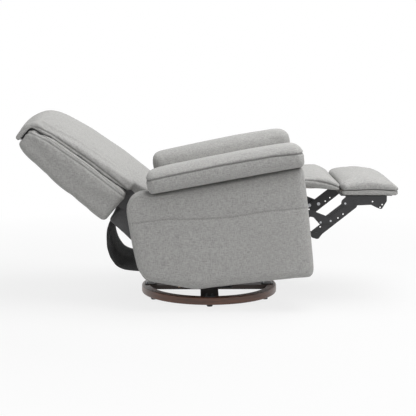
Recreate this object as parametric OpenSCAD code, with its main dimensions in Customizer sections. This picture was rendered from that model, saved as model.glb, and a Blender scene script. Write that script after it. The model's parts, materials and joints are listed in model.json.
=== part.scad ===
// Swivel recliner on a round wooden base, drawn fully reclined with its footrest out.
// The chair faces +X, +Z is up, and the origin is on the floor at the swivel axis.

/* [Base ring] */
// Outer radius of the wooden ring
ring_r = 280; // [250:1:320]
// Radial width of the ring
ring_w = 38; // [28:1:50]
// Thickness of the ring
ring_t = 30; // [22:1:40]
// Edge rounding of the ring
ring_edge = 5; // [2:0.5:8]
// Height of the glide feet
foot_h = 8; // [5:1:14]
// Radius of a glide foot
foot_r = 12; // [8:1:15]
// Number of glide feet
foot_count = 6; // [4:1:10]
// Width of the boards that cross inside the ring
board_w = 72; // [50:1:100]
// Thickness of the cross boards
board_t = 18; // [12:1:22]
// Length of the steel tab over each board end
tab_l = 52; // [40:1:60]
// Width of a steel tab
tab_w = 46; // [30:1:50]
// Thickness of the tabs and of the pressed swivel plate
plate_t = 3; // [2:0.5:4]

/* [Swivel and tilt] */
// Side length of the square swivel plates
swivel_w = 190; // [150:1:230]
// Radius of the circle of bearing balls
race_r = 68; // [50:1:78]
// Radius of a bearing ball
ball_r = 3.5; // [2.5:0.5:4.5]
// Number of bearing balls
ball_count = 20; // [12:1:30]
// Radius of the centre bolt
king_r = 8; // [6:0.5:10]
// Place of the tilt axis in front of the swivel axis
rock_x = 10; // [0:1:25]
// Height of the tilt axis above the floor
rock_z = 72; // [70:1:84]
// Radius of the tilt shaft
shaft_r = 9; // [7:0.5:10]
// Distance from the middle to the inner face of a cradle ear
ear_in = 66; // [50:1:75]
// Thickness of the ears of the tilt joint
ear_t = 6; // [4:0.5:8]
// Wall of the rubber bush round the tilt shaft
bush_wall = 3.5; // [2.5:0.5:5]
// Backward tilt of the body in the drawn pose
body_tilt = 7; // [5:0.5:9]
// Whole tilt travel of the body
rock_travel = 12; // [10:0.5:13]
// Distance from the tilt axis to a bumper
bumper_reach = 78; // [70:1:84]

/* [Body frame] */
// Height of the underside of the body above the tilt axis, square to the frame
floor_c = 15; // [14:0.5:20]
// Thickness of the wooden side rails
rail_t = 22; // [18:1:26]
// Distance from the middle to the inner face of a side rail
rail_in = 248; // [240:1:256]
// Depth of the cross rails, front to back
cross_d = 45; // [35:1:55]
// Height of the cross rails
cross_h = 38; // [30:1:45]
// Height of the seat deck at its front, above the tilt axis
deck_front = 351; // [340:1:360]
// Height of the seat deck at its rear
deck_rear = 329; // [320:1:335]
// Front end of the seat deck
deck_x1 = 398; // [390:1:402]
// Rear end of the seat deck
deck_x0 = -79; // [-86:1:-79]
// Width of a webbing strap
web_w = 62; // [45:1:70]
// Thickness of a webbing strap
web_t = 2; // [1.5:0.1:2.5]

/* [Arms] */
// Distance from the middle to the inner face of an arm
arm_in = 270; // [264:1:280]
// Thickness of an arm's side panel
arm_w = 115; // [90:1:130]
// Front of the arm panels
arm_x1 = 403; // [396:1:408]
// Rear of the arm panels
arm_x0 = -293; // [-300:1:-285]
// Edge rounding of the arm panels
arm_edge = 20; // [12:1:24]
// Width of an arm pad
pad_w = 160; // [140:1:170]
// How far the arm pad reaches over the inner face of the arm
pad_over = 5; // [2:1:6]
// Height of the arm pad's underside at the rear, above the tilt axis
pad_rear_c = 413; // [405:1:420]
// Slope of the arm pad's underside
pad_slope = 3.4; // [2:0.1:5]
// Length of the arm pad
pad_l = 616; // [590:1:620]
// Thickness of the arm pad at its rear end
pad_h0 = 94; // [80:1:100]
// Thickness of the arm pad at its front end
pad_h1 = 98; // [85:1:110]
// Length of the pocket slit in the right arm
pocket_l = 340; // [240:1:380]
// Width of the pocket slit
pocket_gap = 3; // [2:0.5:3.5]
// Depth of the pocket slit
pocket_d = 16; // [8:1:24]

/* [Seat] */
// Half width of the seat cushion
seat_hw = 262; // [250:1:266]
// Height of the seat cushion above the webbing at the front
seat_h = 46; // [43:1:56]
// Height of the seat cushion above the webbing at the rear
seat_rear_h = 101; // [92:1:106]
// How far the seat's rounded front stands out past the deck
seat_nose = 151; // [140:1:152]
// Crown of the seat cushion
seat_crown = 8; // [4:1:12]

/* [Back] */
// Place of the back hinge behind the tilt axis
hinge_x = -145; // [-150:1:-140]
// Height of the back hinge above the tilt axis
hinge_z = 376; // [370:1:382]
// Lean of the back against the body frame in the drawn pose
back_lean = 43; // [41:0.5:45]
// Radius of the back hinge pins
hinge_r = 6; // [5:0.5:7]
// Half width of the back's rear shell
shell_hw = 318; // [300:1:330]
// Thickness of the shell from its rear face to the cushion
shell_d = 148; // [130:1:155]
// Place of the face between shell and cushion, in front of the hinge
split_x = -62; // [-66:1:-58]
// Height of the shell's cut lower edge above the hinge
shell_z0 = 116; // [114:1:124]
// Height of the shell's top above the hinge
shell_z1 = 573; // [540:1:600]
// Half width of the back cushion above the arms
back_hw = 300; // [285:1:312]
// Half width of the back cushion between the arms
back_low_hw = 256; // [245:1:258]
// Thickness of the back cushion at its foot
back_d = 114; // [100:1:116]
// Half width of the tail panel below the shell
tail_hw = 247; // [244.7:0.1:247.5]
// Thickness of the wooden back frame, front to back
stile_d = 44; // [35:1:50]
// Width of a back stile
stile_w = 22; // [18:1:26]

/* [Footrest linkage] */
// Thickness of a steel link
link_t = 3; // [2.5:0.5:3.5]
// Gap between neighbouring links
link_gap = 0.6; // [0.5:0.1:1]
// Place of the torque tube in front of the tilt axis
crank_x = 353; // [350:1:356]
// Height of the torque tube above the tilt axis
crank_z = 266; // [262:1:268]
// Distance between the two pivots of a crank
crank_len = 155; // [153:0.5:157]
// Angle of the cranks below the body frame in the drawn pose
crank_drop = 22; // [21:0.5:23]
// Distance between the front and the rear crank's pivots
crank_gap = 77; // [74:1:80]
// Direction from the front to the rear crank's pivot
gap_angle = 222; // [218:1:226]
// Distance from the front crank to the footrest bracket along the main link
main_reach = 122; // [118:1:126]
// Slope of the main link
main_slope = 31; // [29:1:33]
// Distance between the two upper pivots of the footrest bracket
coupler = 40; // [38:1:44]
// Depth of the main link below the line of its two front pivots
main_low = 20.5; // [14:0.5:22]
// Rise of the main link above the line of its two front pivots
main_up = 14.5; // [12:0.5:15]
// Width of the cranks
crank_w = 24; // [20:1:26]
// Width of the upper bar
bar_w = 14; // [13:1:15]
// Radius of the link rivets
rivet_r = 4; // [3:0.5:4.5]
// Radius of a rivet head
head_r = 7; // [6:0.5:7.5]
// Radial play of a turning rivet
pin_play = 0.08; // [0.04:0.01:0.1]
// Side of the square torque tube
tube_w = 20; // [16:1:22]
// Half width of the footrest pad
foot_hw = 254; // [230:1:256]
// Crown of the footrest pad
foot_crown = 6; // [3:1:9]
// Thickness of the footrest board
foot_board_t = 12; // [9:1:14]

/* [Rear cover and release] */
// Half width of the black cover behind the body
cover_hw = 230; // [200:1:240]
// Thickness of the black cover
cover_t = 2; // [1.5:0.5:3]
// Width of the release strap
strap_w = 26; // [20:1:32]
// Thickness of the release strap
strap_t = 1.8; // [1.4:0.2:2.2]

/* [Hidden] */
$fn = 48;

fabric = [0.70, 0.70, 0.69];
fabric_dark = [0.45, 0.45, 0.45];
black_cloth = [0.13, 0.13, 0.13];
steel = [0.16, 0.16, 0.16];
zinc = [0.62, 0.63, 0.65];
walnut = [0.35, 0.20, 0.15];
dark_wood = [0.18, 0.11, 0.09];
plywood = [0.74, 0.60, 0.42];
pine = [0.80, 0.68, 0.48];
rubber = [0.10, 0.10, 0.10];

ring_in = ring_r - ring_w;
ring_top = foot_h + ring_t;
board_z = ring_top - board_t;
lower_plate_top = ring_top + plate_t;
ball_play = 0.06;
race_gap = 0.5;
ball_z = lower_plate_top + ball_r + 2;
cradle_z = ball_z + ball_r + 2;
cradle_t = 3;
cradle_top = cradle_z + cradle_t;
fit = 0.08;
lap_play = 0.3;

deck_angle = atan2(deck_front - deck_rear, deck_x1 - deck_x0);
frame_z = floor_c + plate_t;
arm_out = arm_in + arm_w;

// Layers of the linkage, measured from the middle outwards
plate_in = rail_in - link_t;
layer_a = plate_in - link_gap - link_t;
layer_b = layer_a - link_gap - link_t;
layer_c = layer_b - link_gap - link_t;
head_t = 1.9;
head_play = 0.3;

function polar(r, a) = [r * cos(a), r * sin(a)];
crank_pivot = [crank_x, crank_z];
main_pivot = crank_pivot + polar(crank_len, -crank_drop);
gap_vector = polar(crank_gap, gap_angle);
rear_pivot = crank_pivot + gap_vector;
rear_main = main_pivot + gap_vector;
foot_pivot = main_pivot + polar(main_reach, main_slope);
coupler_vector = polar(coupler, 188 - body_tilt);
bar_foot = foot_pivot + coupler_vector;
bar_crank = main_pivot + coupler_vector;
foot_level = body_tilt;
coupler_level = polar(coupler, 188);

// Turns the body frame's coordinates into the floor's at a given tilt
function tilted(p, t) = [rock_x + p[0] * cos(t) - p[1] * sin(t), rock_z + p[0] * sin(t) + p[1] * cos(t)];

// Rounds the corner b between a and c with the radius r
function corner(a, b, c, r, n) =
    let (u = (a - b) / norm(a - b), v = (c - b) / norm(c - b),
         half = acos(max(-1, min(1, u * v))) / 2, d = r / tan(half),
         m = (u + v) / norm(u + v), o = b + m * (r / sin(half)),
         p = b + u * d, q = b + v * d,
         a0 = atan2(p[1] - o[1], p[0] - o[0]), a1 = atan2(q[1] - o[1], q[0] - o[0]),
         turn = (a1 - a0 > 180) ? a1 - a0 - 360 : ((a1 - a0 < -180) ? a1 - a0 + 360 : a1 - a0))
    [for (i = [0 : n]) o + r * [cos(a0 + turn * i / n), sin(a0 + turn * i / n)]];

// A closed outline from corners given as [x, z, radius]
function outline(p, n = 5) =
    [for (i = [0 : len(p) - 1])
        let (a = p[(i + len(p) - 1) % len(p)], b = p[i], c = p[(i + 1) % len(p)])
        each (b[2] > 0 ? corner([a[0], a[1]], [b[0], b[1]], [c[0], c[1]], b[2], n) : [[b[0], b[1]]])];

// Draws the corners of a closed outline inwards by d, so that each side moves by d
function inset(p, d) =
    [for (i = [0 : len(p) - 1])
        let (a = p[(i + len(p) - 1) % len(p)], b = p[i], c = p[(i + 1) % len(p)],
             u = [a[0] - b[0], a[1] - b[1]] / norm([a[0] - b[0], a[1] - b[1]]),
             v = [c[0] - b[0], c[1] - b[1]] / norm([c[0] - b[0], c[1] - b[1]]),
             s = (u[1] * v[0] - u[0] * v[1] > 0) ? 1 : -1, h = sqrt((1 - u * v) / 2),
             m = s * (u + v) / norm(u + v) * d / h)
        [b[0] + m[0], b[1] + m[1], max(b[2] - s * d, 0.8)]];

// Solid between rings of points, each ring lying at one y
module loft(rings, ys) {
    n = len(rings[0]);
    m = len(rings);
    points = [for (k = [0 : m - 1]) for (p = rings[k]) [p[0], ys[k], p[1]]];
    sides = [for (k = [0 : m - 2]) for (j = [0 : n - 1])
        let (a = k * n + j, b = k * n + (j + 1) % n)
        each [[a, b, b + n], [a, b + n, a + n]]];
    polyhedron(points, concat(sides, [[for (j = [n - 1 : -1 : 0]) j]], [[for (j = [0 : n - 1]) (m - 1) * n + j]]));
}

// Steps across a pad: even steps in the middle, finer ones over the rounded edge
function steps(half, edge, n, k) =
    concat([for (i = [0 : k]) -half + edge * (1 - cos(90 * i / k))],
           [for (i = [1 : n - 1]) -half + edge + (2 * half - 2 * edge) * i / n],
           [for (i = [k : -1 : 0]) half - edge * (1 - cos(90 * i / k))]);
function edge_in(y, half, edge) =
    let (u = max(0, (abs(y) - half + edge) / edge)) edge * (1 - sqrt(max(0, 1 - u * u)));

// A pad with a crown and rounded edges, across the width 2 * half, from corners given as [x, z, radius]
module pad(p, half, edge, crown, n = 4, k = 3, least = 0.86, turn = 5) {
    ys = steps(half, edge, n, k);
    loft([for (y = ys) outline(inset(p, crown * pow(y / half, 2) + min(edge_in(y, half, edge), edge * least)), turn)], ys);
}

// Lowers the upper corners of a closed outline by d
function lowered(p, d) =
    let (z = [for (c = p) c[1]], upper = min(z) + 0.6 * (max(z) - min(z)))
    [for (c = p) [c[0], c[1] > upper ? c[1] - d : c[1], c[2]]];
// A cushion, crowned on its upper face alone so that its ends stay straight
module cushion(p, half, edge, crown, n = 6, k = 3, least = 0.2, turn = 5) {
    ys = steps(half, edge, n, k);
    loft([for (y = ys) outline(inset(lowered(p, crown * pow(y / half, 2)), min(edge_in(y, half, edge), edge * least)), turn)], ys);
}

module across(y0, y1) translate([0, y1, 0]) rotate([90, 0, 0]) linear_extrude(y1 - y0) children();
module pin(p, y0, y1, r) translate([p[0], y1, p[1]]) rotate([90, 0, 0]) cylinder(h = y1 - y0, r = r);
module on_body() translate([rock_x, 0, rock_z]) rotate([0, -body_tilt, 0]) children();
module on_back() on_body() translate([hinge_x, 0, hinge_z]) rotate([0, -back_lean, 0]) children();
module on_foot() on_body() translate([foot_pivot[0], 0, foot_pivot[1]]) rotate([0, foot_level, 0]) children();
module both() { children(); mirror([0, 1, 0]) children(); }

function unit(v) = v / norm(v);
function perp(v) = [v[1], -v[0]];
// Shift of the side of a band at its centre point i, with mitred bends
function side_shift(p, i) =
    let (a = unit(p[i] - p[max(i - 1, 0)] + (i == 0 ? p[1] - p[0] : [0, 0])),
         b = unit(p[min(i + 1, len(p) - 1)] - p[i] + (i == len(p) - 1 ? p[i] - p[i - 1] : [0, 0])),
         m = unit(perp(a) + perp(b)))
    m / (m * perp(a));
function cap(c, v, r, n) = let (a = atan2(v[1], v[0])) [for (i = [1 : n - 1]) c + polar(r, a + 180 * i / n)];
// Outline of a flat bar along the given centres, with round ends
function band(p, w, n = 12) = let (last = len(p) - 1) concat(
    [for (i = [0 : last]) p[i] + side_shift(p, i) * w / 2], cap(p[last], side_shift(p, last), w / 2, n),
    [for (i = [last : -1 : 0]) p[i] - side_shift(p, i) * w / 2], cap(p[0], -side_shift(p, 0), w / 2, n));
module strip(points, w, n = 12) polygon(band(points, w, n));
module holes(points, r) for (p = points) translate(p) circle(r = r);

// Base ring, its boards and feet

module base_ring() color(walnut) rotate_extrude($fn = 96) polygon(outline([
    [ring_in, foot_h, ring_edge], [ring_r, foot_h, ring_edge],
    [ring_r, ring_top, ring_edge], [ring_in, ring_top, ring_edge]], 4));

module board_blank() intersection() {
    translate([-ring_in, -board_w / 2, board_z]) cube([2 * ring_in, board_w, board_t]);
    cylinder(h = 3 * ring_top, r = ring_in - lap_play, $fn = 96);
}
module lap(z) translate([-board_w / 2 - lap_play, -board_w, z]) cube([board_w + 2 * lap_play, 2 * board_w, board_t]);
module cross_board_long() color(dark_wood) difference() {
    board_blank();
    lap(board_z + board_t / 2);
}
module cross_board_wide() color(dark_wood) rotate([0, 0, 90]) difference() {
    board_blank();
    lap(board_z - board_t / 2);
}

screw_r = 2.5;
tab_x0 = ring_in - tab_l / 2;
tab_screws = [tab_x0 + 10, tab_x0 + tab_l - 10];
module ring_tabs() color(steel) for (a = [0 : 90 : 270]) rotate([0, 0, a]) difference() {
    translate([tab_x0, 0, ring_top]) linear_extrude(plate_t)
        polygon(outline([[0, -tab_w / 2, 8], [tab_l, -tab_w / 2, 8], [tab_l, tab_w / 2, 8], [0, tab_w / 2, 8]], 4));
    for (x = tab_screws, y = [-tab_w / 4, tab_w / 4])
        translate([x, y, 0]) cylinder(h = 2 * ring_top, r = screw_r);
}
module base_screws() color(zinc) for (a = [0 : 90 : 270]) rotate([0, 0, a])
    for (x = tab_screws, y = [-tab_w / 4, tab_w / 4]) translate([x, y, ring_top]) {
        cylinder(h = plate_t, r = screw_r);
        translate([0, 0, plate_t]) cylinder(h = 2, r1 = 2 * screw_r, r2 = 1.2 * screw_r);
    }
module glide_foot(h) {
    cylinder(h = 2.5, r1 = foot_r - 2, r2 = foot_r);
    translate([0, 0, 2.5]) cylinder(h = h - 2.5, r = foot_r);
}
// The feet stand under the ring, and one longer foot carries the crossing of the boards
module glide_feet() color(rubber) {
    for (i = [0 : foot_count - 1]) rotate([0, 0, 360 / foot_count * (i + 0.5)])
        translate([ring_r - ring_w / 2, 0, 0]) glide_foot(foot_h);
    glide_foot(board_z);
}

// Swivel

module rounded_square(w, r) polygon(outline([[-w / 2, -w / 2, r], [w / 2, -w / 2, r], [w / 2, w / 2, r], [-w / 2, w / 2, r]], 4));
plate_bolts = [for (x = [-1, 1], y = [-1, 1]) [x, y] * (swivel_w / 2 - 14)];
module swivel_base_plate() color(steel) difference() {
    translate([0, 0, ring_top]) linear_extrude(plate_t) rounded_square(swivel_w, 16);
    for (p = plate_bolts) translate(p) cylinder(h = 2 * ring_top, r = 4);
    cylinder(h = 2 * ring_top, r = king_r);
}
module race(z0, z1) difference() {
    translate([0, 0, z0]) difference() {
        cylinder(h = z1 - z0, r = race_r + 8, $fn = 96);
        translate([0, 0, -1]) cylinder(h = z1 - z0 + 2, r = race_r - 8, $fn = 96);
    }
    translate([0, 0, ball_z]) rotate_extrude($fn = 96) translate([race_r, 0]) circle(r = ball_r + ball_play, $fn = 32);
}
module lower_race() color(zinc) race(lower_plate_top, ball_z - race_gap / 2);
module upper_race() color(zinc) race(ball_z + race_gap / 2, cradle_z);
module bearing_balls() color(zinc) for (i = [0 : ball_count - 1])
    rotate([0, 0, 360 / ball_count * i]) translate([race_r, 0, ball_z]) sphere(r = ball_r, $fn = 24);
module king_bolt() color(zinc) {
    translate([0, 0, ring_top]) cylinder(h = cradle_top + 0.2 - ring_top, r = king_r);
    translate([0, 0, cradle_top + 0.2]) cylinder(h = 5, r = king_r * 1.7, $fn = 6);
}

ear_y = ear_in + ear_t;
ear_round = shaft_r + bush_wall + 3.5;
module cradle_ear() across(ear_in, ear_y) difference() {
    union() {
        translate([rock_x, rock_z]) circle(r = floor_c - 1);
        translate([rock_x - 26, cradle_top - 0.5]) square([52, rock_z - cradle_top - 3]);
    }
    translate([rock_x, rock_z]) circle(r = shaft_r);
}
module swivel_cradle() color(steel) {
    difference() {
        translate([0, 0, cradle_z]) linear_extrude(cradle_t) rounded_square(swivel_w + 2, 16);
        cylinder(h = 4 * ring_top, r = king_r + fit);
    }
    both() cradle_ear();
}
module tilt_shaft() color(zinc) pin([rock_x, rock_z], -ear_y - ear_t - 8, ear_y + ear_t + 8, shaft_r);

bumper_r = 7;
bumper_w = 60;
bumper_rear = tilted([-bumper_reach, floor_c - bumper_r - 0.3], body_tilt);
bumper_front = tilted([bumper_reach, floor_c - bumper_r - 0.3], body_tilt - rock_travel);
module tilt_bumpers() color(rubber) for (c = [bumper_rear, bumper_front]) across(-bumper_w / 2, bumper_w / 2) {
    translate(c) circle(r = bumper_r);
    translate([c[0] - bumper_r, cradle_top]) square([2 * bumper_r, c[1] - cradle_top]);
}

// Body frame

bracket_l = 250;
bracket_w = 196;
bush_r = shaft_r + bush_wall;
module tilt_bracket() color(steel) on_body() {
    difference() {
        translate([-bracket_l / 2, -bracket_w / 2, floor_c]) cube([bracket_l, bracket_w, plate_t]);
        for (x = [-1, 1], y = [-1, 1]) translate([x * (bracket_l / 2 - 14), y * (bracket_w / 2 - 14), 0])
            cylinder(h = 2 * frame_z, r = 4);
    }
    both() across(ear_y + 0.8, ear_y + 0.8 + ear_t) difference() {
        union() {
            circle(r = ear_round);
            translate([-34, 0]) square([68, floor_c]);
        }
        circle(r = bush_r);
    }
}
module tilt_bushes() color(rubber) on_body() both() across(ear_y + 0.8, ear_y + 0.8 + ear_t) difference() {
    circle(r = bush_r);
    circle(r = shaft_r + fit);
}

module cross_rail(x) translate([x, -rail_in, frame_z]) cube([cross_d, 2 * rail_in, cross_h]);
module front_cross_rail() color(pine) on_body() cross_rail(bracket_l / 2 - cross_d + 8);
module rear_cross_rail() color(pine) on_body() cross_rail(-bracket_l / 2 - 8);
low_rail = [-238, 96];
module rear_low_rail() color(pine) on_body()
    translate([low_rail[0], -rail_in, low_rail[1]]) cube([rail_t, 2 * rail_in, 44]);

// Height of the deck line at x
function deck(x) = deck_rear + (x - deck_x0) * tan(deck_angle);
rail_side = [[-90, frame_z, 60], [deck_x1 - 10, frame_z, 18], [deck_x1 - 4, deck(deck_x1 - 4) - 40, 10],
             [deck_x1 - 26, deck(deck_x1 - 26), 0], [-110, deck(-110), 12], [-240, 300, 30], [-240, 92, 20]];
module side_rail() color(plywood) on_body() across(rail_in, rail_in + rail_t) polygon(outline(rail_side));
module side_rail_left() side_rail();
module side_rail_right() mirror([0, 1, 0]) side_rail();

module deck_frame() on_body() translate([deck_x0, 0, deck_rear]) rotate([0, -deck_angle, 0]) children();
deck_l = (deck_x1 - deck_x0) / cos(deck_angle);
module deck_rail(x, h, half) translate([x, -half, -h - web_t]) cube([rail_t, 2 * half, h]);
module spring_rail_front() color(pine) deck_frame() deck_rail(deck_l - rail_t, 42, rail_in);
module spring_rail_rear() color(pine) deck_frame() deck_rail(0, 40, plate_in);
module seat_webbing() color(black_cloth) deck_frame() {
    for (i = [-2 : 2]) translate([0, i * 96 - web_w / 2, -web_t]) cube([deck_l, web_w, web_t]);
    for (i = [0 : 3]) translate([64 + i * 100, -rail_in - rail_t / 2, 0]) cube([web_w, 2 * rail_in + rail_t, web_t]);
}

// Arms

function pad_line(x) = pad_rear_c + (x - arm_pad_x0) * tan(pad_slope);
arm_pad_x0 = -198;
arm_shape = [[-60, frame_z + 2, 120], [arm_x1, frame_z - 1, 27], [arm_x1 + 1, pad_line(arm_x1) - 0.2, 6],
             [arm_pad_x0 + 6, pad_line(arm_pad_x0 + 6) - 0.2, 4], [arm_pad_x0 - 5, pad_rear_c + 16, 8],
             [arm_x0 - 2, pad_rear_c + 17, 68], [arm_x0 + 16, 132, 60], [arm_x0 + 40, 84, 26]];
board_shape = [[-60, 48, 80], [370, 46, 20], [370, 330, 20], [-240, 318, 30], [-238, 120, 20]];
board_in = 18;
pocket_path = [[-105, 313], [0, 300], [111, 294], [233, 301]];
module arm_panel() on_body() difference() {
    intersection() {
        translate([0, arm_in + arm_w / 2, 0]) pad(arm_shape, arm_w / 2, arm_edge, 0, 2, 3, 0.86, 4);
        translate([-600, arm_in, -100]) cube([1200, arm_w, 700]);
    }
    across(arm_in - 1, arm_in + board_in) polygon(outline(board_shape));
}
module pocket_slit() on_body() across(-arm_out - 1, -arm_out + pocket_d)
    strip([for (p = pocket_path) [64 + (p[0] - 64) * pocket_l / 340, p[1]]], pocket_gap, 4);
module arm_panel_left() color(fabric) arm_panel();
module arm_panel_right() color(fabric) difference() {
    mirror([0, 1, 0]) arm_panel();
    pocket_slit();
}
module arm_board() color(plywood) on_body() across(arm_in, arm_in + board_in) polygon(outline(board_shape));
module arm_board_left() arm_board();
module arm_board_right() mirror([0, 1, 0]) arm_board();

pad_mid = arm_in - pad_over + pad_w / 2;
pad_shape = [[0, 0, 22], [pad_l - 4, 0, 20], [pad_l + 2, pad_h1, 46], [398, pad_h1 + 4, 400], [0, pad_h0, 34]];
module arm_pad() on_body() translate([arm_pad_x0, pad_mid, pad_rear_c]) rotate([0, -pad_slope, 0])
    pad(pad_shape, pad_w / 2, 34, 3, 3, 4, 0.6);
module arm_pad_left() color(fabric) arm_pad();
module arm_pad_right() color(fabric) mirror([0, 1, 0]) arm_pad();

// Seat

seat_foot = 2 * web_t;
seat_shape = [[deck_x0, deck_rear + web_t, 24], [deck_x1 - 4, deck_front + web_t + 3, 80],
              [deck_x1 + seat_nose, deck_front - 31, 10], [deck_x1 + seat_nose, deck_front + 1, 14],
              [deck_x1 + seat_nose - 44, deck_front + seat_h - 14, 60],
              [deck_x1 + 40, deck_front + seat_h, 200], [deck_x0, deck_rear + seat_rear_h, 34]];
module seat_cushion() color(fabric) on_body() cushion(seat_shape, seat_hw, 22, seat_crown);

// Steel side plates of the mechanism

plate_back = [hinge_x, hinge_z];
plate_shape = [[rear_pivot[0] - 40, rear_pivot[1] - 32, 14], [crank_x + 12, crank_z - 46, 20],
               [crank_x + 30, crank_z + 6, 16], [crank_x + 12, crank_z + 34, 16],
               [120, crank_z + 26, 60], [-60, deck(-60) - 14, 30], [hinge_x + 38, hinge_z + 4, 10],
               [hinge_x + 12, hinge_z + 24, 16], [hinge_x - 20, hinge_z + 22, 16], [hinge_x - 20, hinge_z - 60, 20],
               [-60, 236, 60], [150, crank_z - 60, 60]];
plate_bores = [[0, 262], [70, 250], [-110, 300]];
module side_plate() color(steel) on_body() across(plate_in, rail_in) difference() {
    polygon(outline(plate_shape));
    translate(crank_pivot) circle(r = tube_w / 2 + fit);
    translate(rear_pivot) circle(r = rivet_r);
    translate(plate_back) circle(r = hinge_r);
    holes(plate_bores, 4);
}
module side_plate_left() side_plate();
module side_plate_right() mirror([0, 1, 0]) side_plate();

// A rivet whose shank runs from the outer face y1 inwards, with its head past the face y0
module rivet(p, y0, y1, r = rivet_r, hr = head_r) {
    pin(p, y0 - head_play - head_t, y1, r);
    pin(p, y0 - head_play - head_t, y0 - head_play, hr);
}
module crank_pivot_pins() color(zinc) on_body() both() rivet(rear_pivot, layer_a, rail_in);
module back_hinge_pins() color(zinc) on_body() both() rivet(plate_back, layer_a, rail_in, hinge_r, hinge_r + 4);

// Footrest linkage

module link(y0, points, w, bores, turning) across(y0, y0 + link_t) difference() {
    strip(points, w);
    holes(bores, rivet_r);
    holes(turning, rivet_r + pin_play);
}
crank_bend = crank_pivot + 0.55 * (main_pivot - crank_pivot) + [0, 9];
module front_crank() color(steel) on_body() across(layer_a, layer_a + link_t) difference() {
    union() {
        strip([crank_pivot, crank_bend, main_pivot], crank_w);
        strip([crank_bend, bar_crank, main_pivot], bar_w + 2);
        translate(crank_pivot) circle(r = tube_w / 2 + 9);
    }
    translate(crank_pivot) circle(r = tube_w / 2);
    holes([main_pivot, bar_crank], rivet_r);
}
module front_crank_left() front_crank();
module front_crank_right() mirror([0, 1, 0]) front_crank();
module torque_tube() color(steel) on_body() {
    both() pin(crank_pivot, layer_a - 12, rail_in - 0.5, tube_w / 2);
    translate([crank_x, 0, crank_z]) difference() {
        translate([-tube_w / 2, -layer_a + 12, -tube_w / 2]) cube([tube_w, 2 * layer_a - 24, tube_w]);
        translate([2 - tube_w / 2, -layer_a + 14, 2 - tube_w / 2]) cube([tube_w - 4, 2 * layer_a - 28, tube_w - 4]);
    }
}
module front_crank_rivets() color(zinc) on_body() both() {
    rivet(main_pivot, layer_b, layer_a + link_t);
    rivet(bar_crank, layer_c, layer_a + link_t);
}
module rear_crank() color(steel) on_body() {
    link(layer_a, [rear_pivot, rear_main], crank_w - 3, [], [rear_pivot]);
    rivet(rear_main, layer_b, layer_a);
}
module rear_crank_left() rear_crank();
module rear_crank_right() mirror([0, 1, 0]) rear_crank();

main_dir = polar(1, main_slope);
main_side = polar(1, main_slope + 90);
// A point of the main link at a distance along its front pivots' line and across it
function on_main(p) = main_pivot + main_dir * p[0] + main_side * p[1];
main_shape = [for (p = [[-100, -6, 8], [-84, -8.5 - main_low, 12], [-60, -1 - main_low, 40], [113, 0.5 - main_low, 20],
                        [main_reach + 17, -6, 13], [main_reach + 6, main_up, 11], [-86, main_up, 14]])
    let (q = on_main(p)) [q[0], q[1], p[2]]];
lightening = [on_main([30, -9]), on_main([55, -9]), on_main([-47, 6])];
module main_link() color(steel) on_body() {
    across(layer_b, layer_b + link_t) difference() {
        polygon(outline(main_shape));
        holes([rear_main, main_pivot], rivet_r + pin_play);
        holes([foot_pivot], rivet_r);
        holes(lightening, 3);
    }
    pin(foot_pivot, layer_b, layer_a + link_t + head_play + head_t, rivet_r);
    pin(foot_pivot, layer_a + link_t + head_play, layer_a + link_t + head_play + head_t, head_r);
}
module main_link_left() main_link();
module main_link_right() mirror([0, 1, 0]) main_link();
module upper_bar() color(steel) on_body() link(layer_c, [bar_crank, bar_foot], bar_w, [], [bar_crank, bar_foot]);
module upper_bar_left() upper_bar();
module upper_bar_right() mirror([0, 1, 0]) upper_bar();

// Footrest, in its own level frame round the bracket's main pivot

flange_z = 21;
flange_w = 26;
bracket_shape = [[-57, -13, 11], [-32, -17, 8], [10, -13, 8], [62, -11, 10], [84, -22, 4], [104, -29, 7],
                 [124, 4, 5], [124, flange_z, 0], [-38, flange_z, 0], [-54, 6, 8]];
module footrest_bracket() {
    across(layer_a, layer_a + link_t) difference() {
        polygon(outline(bracket_shape));
        circle(r = rivet_r + pin_play);
        translate(coupler_level) circle(r = rivet_r);
        holes([[106, -10], [98, -21], [68, 2]], 3);
    }
    translate([-38, layer_a + link_t - flange_w, flange_z]) cube([162, flange_w, link_t]);
}
module footrest_brackets() color(steel) on_foot() both() footrest_bracket();
module footrest_rivets() color(zinc) on_foot() both() rivet(coupler_level, layer_c, layer_a + link_t);

foot_board_z = flange_z + link_t;
foot_board = [-56, 146];
module board_block(play, top) translate([foot_board[0] - play, -layer_a + 4 - play, foot_board_z])
    cube([foot_board[1] - foot_board[0] + 2 * play, 2 * (layer_a - 4 + play), foot_board_t + top]);
module footrest_board() color(plywood) on_foot() board_block(0, 0);
foot_shape = [[-57, 18, 4], [168, 18, 4], [173, 56, 12], [148, 82, 30], [52, 96, 120], [-40, 88, 40],
              [-62, 80, 16], [-57, 46, 14]];
module footrest_pad() color(fabric) on_foot() difference() {
    cushion(foot_shape, foot_hw, 22, foot_crown);
    board_block(0, 0);
    translate([-400, -300, -100]) cube([800, 600, 100 + foot_board_z + 1]);
}

// Back

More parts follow.
